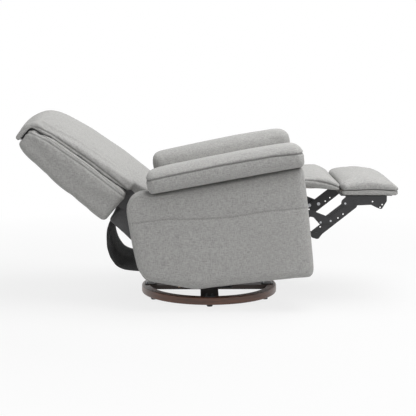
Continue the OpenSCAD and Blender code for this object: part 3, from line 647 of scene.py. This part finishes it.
@cache
def path_tree(kind):
    """The node group that sews runs of points, and the identifiers of its inputs."""
    tree, given, out = group_of("Seam " + kind, {
        "Geometry": "Geometry", "Radius": "Float", "Pitch": "Float", "Length": "Float", "Material": "Material"},
        {"Geometry": "Geometry"}, "GeometryNodeTree")

    def add(sort, inputs, **settings):
        return add_node(tree, sort, inputs, **settings).outputs[0]

    curve = add("GeometryNodeMeshToCurve", {"Mesh": given["Geometry"]})
    if kind == "stitching":
        spaced = add("GeometryNodeResampleCurve", {"Curve": curve, "Length": given["Pitch"]}, mode="LENGTH")
        tangent = add("GeometryNodeInputTangent", {})
        turned = add("FunctionNodeAlignRotationToVector", {"Vector": tangent}, axis="Z")
        thread = add("GeometryNodeMeshCylinder", {
            "Vertices": 6, "Side Segments": 1, "Radius": given["Radius"], "Depth": given["Length"]})
        made = add("GeometryNodeInstanceOnPoints", {"Points": spaced, "Instance": thread, "Rotation": turned})
    else:
        ring = add("GeometryNodeCurvePrimitiveCircle", {"Resolution": 10, "Radius": given["Radius"]})
        swept = add("GeometryNodeCurveToMesh", {"Curve": curve, "Profile Curve": ring, "Fill Caps": True})
        made = add("GeometryNodeSetShadeSmooth", {"Geometry": swept})
    made = add("GeometryNodeRealizeInstances", {"Geometry": made})
    painted = add("GeometryNodeSetMaterial", {"Geometry": made, "Material": given["Material"]})
    feed(tree, out, {"Geometry": painted})
    return tree, {s.name: s.identifier for s in tree.interface.items_tree if s.in_out == "INPUT"}


def sew(name, kind, runs, radius, material, body):
    """One mesh of stitches or welts along several runs of points, riding on a body."""
    verts, edges = [], []
    for points, closed in runs:
        base = len(verts)
        verts += list(points)
        edges += [(base + i, base + i + 1) for i in range(len(points) - 1)]
        if closed:
            edges.append((base + len(points) - 1, base))
    o = new_object(name, verts, edges, [])
    m = o.modifiers.new(kind, "NODES")
    m.node_group, identifiers = path_tree(kind)
    values = {"Radius": radius, "Pitch": sizes().stitch_pitch, "Length": sizes().stitch_length,
              "Material": materials()[material]}
    for label, value in values.items():
        m[identifiers[label]] = value
    settle(o)
    if len(o.data.polygons) == 0:
        raise RuntimeError(name + " came out empty")
    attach(o, body)


# Padding

# The simulation that blows the padding up
CLOTH_FRAMES = 20
CLOTH = {"quality": 4, "mass": 0.4, "tension_stiffness": 12, "compression_stiffness": 12, "shear_stiffness": 6,
         "bending_stiffness": 1.2, "use_pressure": True, "uniform_pressure_force": 4.0, "vertex_group_mass": "held"}


def swell(o, pinned, cap):
    """Blows the padding up as cloth, held at its seams, and caps how far a point may move."""
    held_from = 0.02
    start = coords(o)
    group = o.vertex_groups.new(name="held")
    for i in np.nonzero(pinned > held_from)[0]:
        group.add([int(i)], float(pinned[i]), "REPLACE")
    m = o.modifiers.new("cloth", "CLOTH")
    for key, value in CLOTH.items():
        setattr(m.settings, key, value)
    m.settings.effector_weights.gravity = 0
    m.collision_settings.use_collision = False
    m.point_cache.frame_start, m.point_cache.frame_end = 1, CLOTH_FRAMES
    scene = bpy.context.scene
    for f in range(1, CLOTH_FRAMES + 1):
        scene.frame_set(f)
    moved = read(evaluated(o).vertices, "co", 3).astype(float) - start
    length = np.linalg.norm(moved, axis=1, keepdims=True)
    capped = moved / np.maximum(length, 1e-9) * cap * np.tanh(length / cap)
    o.modifiers.clear()
    o.vertex_groups.clear()
    set_coords(o, start + capped)
    scene.frame_set(1)


def undulate(o, amount, seed):
    """Slow swells in the padding, so that no face is quite flat."""
    waves, pace = 5, 16.0
    co, n = coords(o), normals(o)
    rng = np.random.default_rng(seed)
    total = np.zeros(len(co))
    for k in range(waves):
        d = rng.normal(size=3)
        d /= np.linalg.norm(d)
        total += np.sin(co @ d * pace * (0.7 + 0.3 * k) + rng.uniform(0, PHASES)) / (1 + 0.5 * k)
    set_coords(o, co + n * (total * amount / WAVE_SUM)[:, None])


def upholster(node, name, body, seams, size, seed, cap, shrink, held=nowhere, material="grey_upholstery",
              swells=0.0012, eased=None, form=None):
    """Makes the padded cover that stands for a soft CAD solid: remeshed, swelled and sewn."""
    s = sizes()
    o = copy_node(node, name) if form is None else form
    set_material(o, material)
    remesh(o, size)
    set_coords(o, coords(o) - normals(o) * shrink)
    co, reach = coords(o), 1.5 * size
    pinned = held(co)
    for seam in seams:
        near = np.exp(-(seam.value(co) / reach) ** 2)
        pinned = np.maximum(pinned, near * seam.where(co) * seam.depth)
    swell(o, np.clip(pinned, 0, 1), cap)
    relax(o, 2)
    subdivide(o)
    undulate(o, swells, seed)
    if eased is not None:
        set_coords(o, eased(coords(o)))
    for seam in seams:
        for side in (-1, 0, 1) if seam.stitching else ():
            score(o, lambda q, beside=side * s.seam_width: seam.value(q) - beside, seam.where)
    for k, seam in enumerate(seams):
        draw_in(o, seam, seed + k)
    # Painted shade along the seams' creases
    paint_seam_shade(o, seams)
    co = coords(o)
    runs = {kind: [(evened(points, closed), closed) for seam in seams for offset in getattr(seam, kind)
                   for points, closed in seam_lines(o, seam.value(co) - offset, seam.where(co) > 0.5)]
            for kind in ("stitching", "welts")}
    o.data.shade_smooth()
    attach(o, body)
    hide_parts(node)
    for kind, radius, finish in (("stitching", s.stitch_radius, "sewing_thread"),
                                 ("welts", s.welt_radius, "welt_cloth")):
        if runs[kind]:
            sew(name.replace("_cover", "") + "_" + kind, kind, runs[kind], radius, finish, body)


def line_with_dark(o, body):
    set_material(o, "dark_grey_lining")
    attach(o, body)


def wrap_board(node, name, body, thickness=0.0003):
    """Dark lining cloth drawn tight around a bare board."""
    o = copy_node(node, name)
    set_coords(o, coords(o) + thickness * normals(o))
    line_with_dark(o, body)


def curve_value(points, convert, axis_in=0, axis_out=2):
    """Distance of a point above a line that runs through the given points, in a body's own frame."""
    xs, zs = np.array(points, float).T

    def value(co):
        p = convert(co)
        return p[:, axis_out] - np.interp(p[:, axis_in], xs, zs)
    return value


ARM_IN, ARM_OUT = 0.270, 0.385
PAD_SLOPE = math.tan(math.radians(3.4))
POCKET = [(-0.290, 0.315), (-0.158, 0.317), (-0.105, 0.313), (0.0, 0.300), (0.111, 0.294), (0.233, 0.301),
          (0.365, 0.295), (0.400, 0.294)]
PAD_SEAM = [(-0.20, 0.060), (-0.1, 0.064), (0.10, 0.068), (0.30, 0.066), (0.42, 0.055)]


class RECLINER_OT_arms(bpy.types.Operator):
    """Padded arm panels with the pocket's seam, and arm pads"""
    bl_idname = "recliner.arms"
    bl_label = "Arms"

    def execute(self, context):
        middle = 0.5 * (ARM_IN + ARM_OUT)

        def above_pad(co):
            """Height over the slope that the pads stand on."""
            p = to_body(co)
            return p[:, 2] - (0.413 + PAD_SLOPE * (p[:, 0] + 0.198))

        def front_seam(x, where):
            return Seam(lambda co: to_body(co)[:, 0] - x, 0.4, (), where, pucker=0.5)

        for side, word in ((1, "left"), (-1, "right")):
            outer = lambda co: rising(co[:, 1] * side, ARM_OUT - 0.030, ARM_OUT - 0.016)
            rear = lambda co: falling(to_body(co)[:, 0], -0.10, -0.085)
            edge = lambda co: co[:, 1] * side - (ARM_OUT - 0.007)
            upholster("arm_panel_" + word, "arm_panel_cover_" + word, "body",
                      [front_seam(0.396, outer),
                       Seam(curve_value(POCKET, to_body), 0.35, (-0.003,), outer, pucker=0.5),
                       Seam(edge, 0.25, (), rear, (0.0,), 0.0)],
                      size=0.010, seed=3 + side, cap=0.005, shrink=0.001,
                      held=lambda co: falling(co[:, 1] * side, ARM_IN, ARM_IN + 0.012))
            line = lambda co: above_pad(co) - np.interp(to_body(co)[:, 0], *np.array(PAD_SEAM).T)
            front = lambda co: falling(above_pad(co), 0.052, 0.062) * (to_body(co)[:, 0] > 0.3)
            outside = lambda co: rising(co[:, 1] * side, middle - 0.02, middle + 0.02)
            upholster("arm_pad_" + word, "arm_pad_cover_" + word, "body",
                      [Seam(line, 0.9, (-0.003,), outside, wide=0.8), front_seam(0.405, front)],
                      size=0.008, seed=6 + side, cap=0.006, shrink=0.003,
                      held=lambda co: falling(above_pad(co), 0.002, 0.014))
        return {"FINISHED"}


class RECLINER_OT_seat(bpy.types.Operator):
    """Seat cushion with its rounded front and boxing seam"""
    bl_idname = "recliner.seat"
    bl_label = "Seat"

    def execute(self, context):
        line = [(-0.10, 0.392), (0.30, 0.388), (0.417, 0.383), (0.455, 0.375), (0.487, 0.365), (0.518, 0.352),
                (0.545, 0.336)]
        upholster("seat_cushion", "seat_cover", "body", [Seam(curve_value(line, to_body), 0.9, (-0.003,))],
                  size=0.0085, seed=11, cap=0.006, shrink=0.002,
                  held=lambda co: falling(to_body(co)[:, 2], 0.334, 0.352))
        return {"FINISHED"}


# The back cushion: half widths, height at which it widens, thickness, crown, front of the shell, edge's rounding
BACK_HALF, BACK_LOW_HALF, BACK_WIDE_FROM = 0.300, 0.256, 0.122
BACK_DEPTH, BACK_CROWN, BACK_SPLIT, BACK_EDGE = 0.078, 0.033, -0.062, 0.024


def rounded(corners, steps=5):
    """The outline through corners given as x, z and radius."""
    out = []
    for i, (x, z, r) in enumerate(corners):
        at = np.array((x, z))
        u = np.array(corners[i - 1][:2]) - at
        v = np.array(corners[(i + 1) % len(corners)][:2]) - at
        u, v = u / np.linalg.norm(u), v / np.linalg.norm(v)
        half = math.acos(float(np.clip(u @ v, -1, 1))) / 2
        middle = at + (u + v) / np.linalg.norm(u + v) * r / math.sin(half)
        first, last = (at + w * r / math.tan(half) - middle for w in (u, v))
        begin = math.atan2(first[1], first[0])
        sweep = (math.atan2(last[1], last[0]) - begin + math.pi) % (2 * math.pi) - math.pi
        out += [middle + polar(r, math.degrees(begin + sweep * k / steps)) for k in range(steps + 1)]
    return out


def drawn_in(corners, d, least=0.003):
    """Corners of an anticlockwise outline, moved so that every side goes in by d."""
    out = []
    for i, (x, z, r) in enumerate(corners):
        at = np.array((x, z))
        before, after = at - corners[i - 1][:2], np.array(corners[(i + 1) % len(corners)][:2]) - at
        n1, n2 = (np.array((-e[1], e[0])) / np.linalg.norm(e) for e in (before, after))
        bent = before[0] * after[1] - before[1] * after[0]
        p = at + (n1 + n2) / (1 + n1 @ n2) * d
        out.append((p[0], p[1], max(r - d, least) if bent > 0 else r + d))
    return out


def back_form():
    """The back cushion's shape: highest along its middle, its head folded over the shell."""
    # Each section has its y, the height of its foot, how far its rear lies back, and how far its edge has turned in
    steps = [math.sin(math.radians(a)) for a in (0, 20, 40, 60, 90)]
    sections = [(y, 0.03, 0.0, 0.0) for y in (0.0, 0.06, 0.12, 0.18)]
    for half, foot, lie in ((BACK_LOW_HALF, 0.03, 0.0), (BACK_HALF, BACK_WIDE_FROM, 0.011)):
        if half == BACK_HALF:
            sections.append((BACK_LOW_HALF + 0.005, foot, lie, 0.0))
        sections += [(half - BACK_EDGE * (1 - q), foot, lie, 1 - math.sqrt(1 - q * q)) for q in steps]
    rings = []
    for y, foot, lie, e in sections:
        c = (y / BACK_HALF) ** 2
        f, t = BACK_SPLIT + BACK_DEPTH - c * BACK_CROWN, -0.5 * c * BACK_CROWN
        e = 0.3 * BACK_EDGE * e
        rear = BACK_SPLIT - e
        outline = rounded(drawn_in([
            (rear, foot, 0.010), (f, foot, 0.016), (f - 0.006, 0.235, 0.3), (f - 0.022, 0.400, 0.5),
            (f - 0.044, 0.515 + t / 2, 0.16), (f - 0.072 - t, 0.592 + t, 0.04),
            (BACK_SPLIT - 0.046 + t / 2, 0.617 + t, 0.06), (-0.184 - e / 2, 0.606 + t / 2, 0.008),
            (-0.182 - e / 2, 0.5755 - e, 0.006), (-0.102 - e, 0.5745 - e, 0.024),
            (rear - 0.010 - lie, 0.500, 0.16), (rear - lie / 3, 0.320, 0.3)], e))
        rings.append([(x, y, z) for x, z in outline])
    mirrored = [[(x, -y, z) for x, y, z in ring] for ring in rings[:0:-1]]
    return tube("back_cover", from_back(np.concatenate(mirrored + rings)), len(rings[0]), triangles=True)


# The dark border between cushion and shell, as z' and x' in the back's frame, and how wide and thick the cloth is
BACK_LINE = [(0.165, -0.0632), (0.32, -0.0685), (0.44, -0.0790), (0.50, -0.0853), (0.54, -0.0945),
             (0.565, -0.1040), (0.5745, -0.1400), (0.5755, -0.1780)]
# The thick foot is partly the dark border cloth and partly painted shade low between the cushion and the shell
BORDER_FOOT = [(0.02, -0.070), (0.08, -0.090), (0.130, -0.100)]
BORDER_HALF = [0.248, 0.254, 0.262, 0.290, 0.293, 0.293, 0.292, 0.290, 0.286, 0.276, 0.262]
BORDER_THICK = [0.030, 0.070, 0.100, 0.024, 0.020, 0.017, 0.014, 0.010, 0.006, 0.003, 0.002]
SPLIT = curve_value([(0.02, -0.0620)] + BACK_LINE[:6] + [(0.60, -0.150)], to_back, 2, 0)


def flanks(co):
    return rising(np.abs(co[:, 1]), 0.262, 0.272)


def beside_border(co):
    return flanks(co) * np.exp(-(SPLIT(co) / 0.045) ** 2)


def cushion_set_back(co):
    """Moves the edge beside the dark border towards the shell, at the back's sides alone."""
    p = to_back(co)
    p[:, 0] -= 0.010 * beside_border(co) * rising(p[:, 2], 0.12, 0.26) * falling(p[:, 2], 0.54, 0.60)
    return from_back(p)


def shell_set_back(co):
    """The same for the shell, whose rim also curves away from the cushion towards the head."""
    p = to_back(co)
    z = p[:, 2].copy()
    p[:, 0] -= beside_border(co) * (0.006 * rising(z, 0.12, 0.26) * falling(z, 0.52, 0.56)
                                    + 0.002 * rising(z, 0.38, 0.50) * falling(z, 0.535, 0.57))
    corner = np.exp(-((p[:, 0] + 0.194) ** 2 + (z - 0.573) ** 2) / 0.026 ** 2)
    p[:, 0] -= 0.010 * (1 - 0.5 * corner) * falling(p[:, 0], -0.19, -0.12) * rising(np.abs(co[:, 1]), 0.20, 0.29)
    p[:, 2] += 0.010 * corner + 0.006 * rising(z, 0.53, 0.57) * falling(p[:, 0], -0.12, -0.09)
    return from_back(p)


def normals_of(line):
    """Directions at right angles to a flat line, one at each of its points."""
    tangent = np.gradient(line, axis=0)
    tangent /= np.linalg.norm(tangent, axis=1, keepdims=True)
    return np.stack([tangent[:, 1], -tangent[:, 0]], 1)


def border_band():
    """A dark border cloth along a line of the back, drawn through from side to side; at its thick foot it also
    stands in for painted shade in the recess.
    """
    line = np.array([(x - 0.006 * rising(z, 0.15, 0.25) * falling(z, 0.54, 0.58), z)
                     for z, x in BORDER_FOOT + BACK_LINE])
    rings = []
    for p, across, half, thick in zip(line, normals_of(line), BORDER_HALF, BORDER_THICK):
        for sign, y in ((-1, -1), (1, -1), (1, 1), (-1, 1)):
            x, z = p + across * sign * thick / 2
            rings.append((x, y * half, z))
    line_with_dark(tube("back_border", from_back(np.array(rings)), 4), "back")


class RECLINER_OT_back(bpy.types.Operator):
    """Back cushion, rear shell with its welt, dark tail and the roll at the hinge"""
    bl_idname = "recliner.back"
    bl_label = "Back"

    def execute(self, context):
        below_head = lambda co: flanks(co) * falling(to_back(co)[:, 2], 0.555, 0.570)
        upholster("back_cushion", "back_cover", "back",
                  [Seam(lambda co: SPLIT(co) - 0.007, 0.9, (-0.002,), below_head, (), 1.6)],
                  size=0.0078, seed=21, cap=0.004, shrink=0.001,
                  held=lambda co: falling(SPLIT(co), -0.004, 0.006), eased=cushion_set_back, form=back_form())
        rim = lambda co: np.maximum(flanks(co), rising(to_back(co)[:, 2], 0.535, 0.545))
        upholster("back_shell", "back_shell_cover", "back",
                  [Seam(lambda co: SPLIT(co) + 0.023, 0.6, (0.0,), rim, (), 1.2),
                   Seam(lambda co: SPLIT(co) + 0.012, 0.0, (), rim, (0.0,), 0.0)],
                  size=0.0095, seed=23, cap=0.007, shrink=0.001,
                  held=lambda co: rising(to_back(co)[:, 0], -0.075, -0.064), eased=shell_set_back)
        border_band()
        # The tail is dressed in dark lining cloth, darker than the upholstery it stands for: painted shade under the
        # back
        upholster("back_tail", "back_tail_cover", "back", [], size=0.0085, seed=25, cap=0.004, shrink=0.0005,
                  material="dark_grey_lining", swells=0.0008)
        upholster("back_foot_roll", "back_roll_cover", "back", [], size=0.007, seed=27, cap=0.003, shrink=0.001,
                  swells=0.0006)
        return {"FINISHED"}


class RECLINER_OT_footrest(bpy.types.Operator):
    """Footrest pad with its border band"""
    bl_idname = "recliner.footrest"
    bl_label = "Footrest"

    def execute(self, context):
        band = curve_value([(-0.07, 0.0455), (-0.01, 0.0455), (0.06, 0.049), (0.11, 0.0475), (0.18, 0.042)], to_foot)
        upholster("footrest_pad", "footrest_cover", "footrest",
                  [Seam(band, 1.2, (0.004,), welts=(-0.0035,), pucker=1.2)],
                  size=0.0075, seed=31, cap=0.007, shrink=0.002,
                  held=lambda co: falling(to_foot(co)[:, 2], 0.027, 0.036))
        wrap_board("footrest_board", "footrest_board_cloth", "footrest")
        return {"FINISHED"}


class RECLINER_OT_cover(bpy.types.Operator):
    """Black dust cloth hung between the back and the body frame, and the cloth around the frame's rails"""
    bl_idname = "recliner.cover"
    bl_label = "Rear dust cloth"

    def execute(self, context):
        rows, columns, half, fold, thickness = 56, 70, 0.229, 0.0035, 0.0016
        path = np.array([(-0.372, 0.306), (-0.384, 0.280), (-0.389, 0.250), (-0.392, 0.209), (-0.385, 0.169),
                         (-0.366, 0.132), (-0.339, 0.114), (-0.300, 0.104), (-0.262, 0.0965), (-0.222, 0.0935)])
        length = run_lengths(path)[-1]
        at = np.linspace(0, length, rows)
        line = points_at(path, at)
        for _ in range(4):
            line = smoothed(line)
        rng = np.random.default_rng(5)
        folds = [(rng.uniform(9, 38), rng.uniform(0, PHASES), rng.uniform(-6, 6)) for _ in range(5)]
        y = np.linspace(-half, half, columns)
        free = np.sin(np.linspace(0, math.pi, rows)) ** 0.7
        ripple = sum(np.sin(y * f + p + g * at[:, None]) for f, p, g in folds) / len(folds)
        q = line[:, None] + normals_of(line)[:, None] * (fold * ripple * free[:, None])[..., None]
        points = np.stack([q[..., 0], np.broadcast_to(y, ripple.shape), q[..., 1]], 2).reshape(-1, 3)
        o = new_object("rear_dust_cloth", from_body(points), [], grid_faces(rows, columns))
        m = o.modifiers.new("thickness", "SOLIDIFY")
        m.thickness = thickness
        m.offset = 0.0
        settle(o)
        set_material(o, "black_dust_cloth")
        o.data.shade_smooth()
        ends = from_body(np.array([(-0.240, 0.0, 0.150), (-0.372, 0.0, 0.306)]))
        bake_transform(o)
        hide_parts("rear_cover")
        for rail in ("rear_low_rail", "front_cross_rail", "side_rail_left", "side_rail_right"):
            wrap_board(rail, rail + "_cloth", "body")
        return {"FINISHED"}


class RECLINER_OT_hardware(bpy.types.Operator):
    """Finishes of the base, the swivel, the frame and the linkage"""
    bl_idname = "recliner.hardware"
    bl_label = "Hardware"

    def execute(self, context):
        slots = {s["node"]: s["material_slot"] for s in frame["record"]["subparts"]}
        for name, node in NODES.items():
            if node.hide_render:
                continue
            if slots[name] not in materials():
                raise RuntimeError("no finish for " + slots[name])
            set_material(node, slots[name])
        return {"FINISHED"}


# The studio

WHITE = (1, 1, 1, 1)
# Each lamp's name, place, size and power
LAMPS = (("overhead", (1.0, -0.4, 3.2), 2.6, 100.0), ("left front", (-2.6, -3.4, 2.2), 2.0, 19.5),
         ("right front", (3.0, -2.6, 1.8), 2.0, 22.0), ("behind", (0.0, 3.4, 2.4), 2.2, 20.0))
LAMPS_AIM = Vector((0, 0, 0.4))
# The camera that was fitted to the photograph (metres, millimetres, degrees)
CAMERA_PLACE, CAMERA_SENSOR, CAMERA_LENS = (-0.04546, -4.90204, 1.07087), 36.0, 103.5
CAMERA_YAW, CAMERA_PITCH = 0.48, 8.3
# The floor: half its side, its shade, and between which distances it turns how white
FLOOR_HALF, FLOOR_SHADE, FLOOR_FADE = 30, (0.7, 0.7, 0.7, 1), (1.1, 2.4, 0.80, 1.0)
# The light from all round, and the white that the camera sees behind the chair
ROOM_LIGHT, BACKDROP = 0.42, 1.0


def seen_directly(t):
    """One where the camera, a reflection or glass looks at the surface, and zero elsewhere."""
    path = add_node(t, "ShaderNodeLightPath").outputs
    a = math_node(t, "MAXIMUM", path["Is Camera Ray"], path["Is Glossy Ray"])
    return math_node(t, "MAXIMUM", a, path["Is Transmission Ray"])


def emptied(owner):
    """The node tree of a new world or material, without its first nodes."""
    owner.use_nodes = True
    owner.node_tree.nodes.clear()
    return owner.node_tree


def end_tree(t, out, share, plain, white):
    """Shows the plain shader, or the white one where share is one."""
    mix = add_node(t, "ShaderNodeMixShader", {0: share, 1: plain.outputs[0], 2: white.outputs[0]})
    add_node(t, out, {0: mix.outputs[0]})


def aimed(name, data, place, ahead):
    """A lamp or the camera, turned to look ahead."""
    o = bpy.data.objects.new(name, data)
    bpy.context.scene.collection.objects.link(o)
    o.location = place
    o.rotation_mode = "QUATERNION"
    o.rotation_quaternion = ahead.to_track_quat("-Z", "Y")
    return o


class RECLINER_OT_stage(bpy.types.Operator):
    """Pale floor, soft lamps and the camera at the photographed angle"""
    bl_idname = "recliner.stage"
    bl_label = "Studio"

    def execute(self, context):
        scene = context.scene
        scene.view_settings.view_transform = "Standard"
        scene.world = bpy.data.worlds.new("studio")
        t = emptied(scene.world)
        soft, white = (add_node(t, "ShaderNodeBackground", {0: WHITE, 1: light}) for light in (ROOM_LIGHT, BACKDROP))
        end_tree(t, "ShaderNodeOutputWorld", seen_directly(t), soft, white)

        corners = [(x * FLOOR_HALF, y * FLOOR_HALF, 0) for x, y in ((-1, -1), (1, -1), (1, 1), (-1, 1))]
        floor = new_object("floor", corners, [], [(0, 1, 2, 3)])
        m = bpy.data.materials.new("studio floor")
        t = emptied(m)
        at = add_node(t, "ShaderNodeTexCoord").outputs["Object"]
        far = add_node(t, "ShaderNodeVectorMath", {0: at}, operation="LENGTH").outputs["Value"]
        share = math_node(t, "MULTIPLY", seen_directly(t), ramp(t, far, *FLOOR_FADE))
        end_tree(t, "ShaderNodeOutputMaterial", share, add_node(t, "ShaderNodeBsdfDiffuse", {0: FLOOR_SHADE}),
                 add_node(t, "ShaderNodeEmission", {0: WHITE, 1: BACKDROP}))
        floor.data.materials.append(m)

        for name, place, size, power in LAMPS:
            data = bpy.data.lights.new(name, "AREA")
            data.size = size
            data.energy = power
            aimed(name, data, place, LAMPS_AIM - Vector(place))

        data = bpy.data.cameras.new("camera")
        data.sensor_width = CAMERA_SENSOR
        data.lens = CAMERA_LENS
        yaw, pitch = math.radians(CAMERA_YAW), math.radians(CAMERA_PITCH)
        ahead = Vector((math.sin(yaw) * math.cos(pitch), math.cos(yaw) * math.cos(pitch), -math.sin(pitch)))
        scene.camera = aimed("camera", data, CAMERA_PLACE, ahead)
        return {"FINISHED"}


class RECLINER_PT_panel(bpy.types.Panel):
    """Sizes, colours and steps of the recliner"""
    bl_idname = "RECLINER_PT_panel"
    bl_label = "Recliner"
    bl_space_type = "VIEW_3D"
    bl_region_type = "UI"
    bl_category = "Recliner"

    def draw(self, context):
        for group in (context.scene.recliner_sizes, context.scene.recliner_colours):
            box = self.layout.box()
            for key in group.__annotations__:
                box.prop(group, key)
        for op in OPERATORS:
            self.layout.operator(op.bl_idname)


OPERATORS = (RECLINER_OT_stage, RECLINER_OT_arms, RECLINER_OT_seat, RECLINER_OT_back, RECLINER_OT_footrest,
             RECLINER_OT_cover, RECLINER_OT_hardware)
CLASSES = (ReclinerSizes, ReclinerColours, *OPERATORS, RECLINER_PT_panel)


def register():
    for c in CLASSES:
        bpy.utils.register_class(c)
    bpy.types.Scene.recliner_sizes = bpy.props.PointerProperty(type=ReclinerSizes)
    bpy.types.Scene.recliner_colours = bpy.props.PointerProperty(type=ReclinerColours)


def unregister():
    del bpy.types.Scene.recliner_colours
    del bpy.types.Scene.recliner_sizes
    for c in reversed(CLASSES):
        bpy.utils.unregister_class(c)


def main():
    register()
    for op in (bpy.ops.recliner.stage, bpy.ops.recliner.arms, bpy.ops.recliner.seat, bpy.ops.recliner.back,
               bpy.ops.recliner.footrest, bpy.ops.recliner.cover, bpy.ops.recliner.hardware):
        op()


if __name__ == "__main__":
    main()
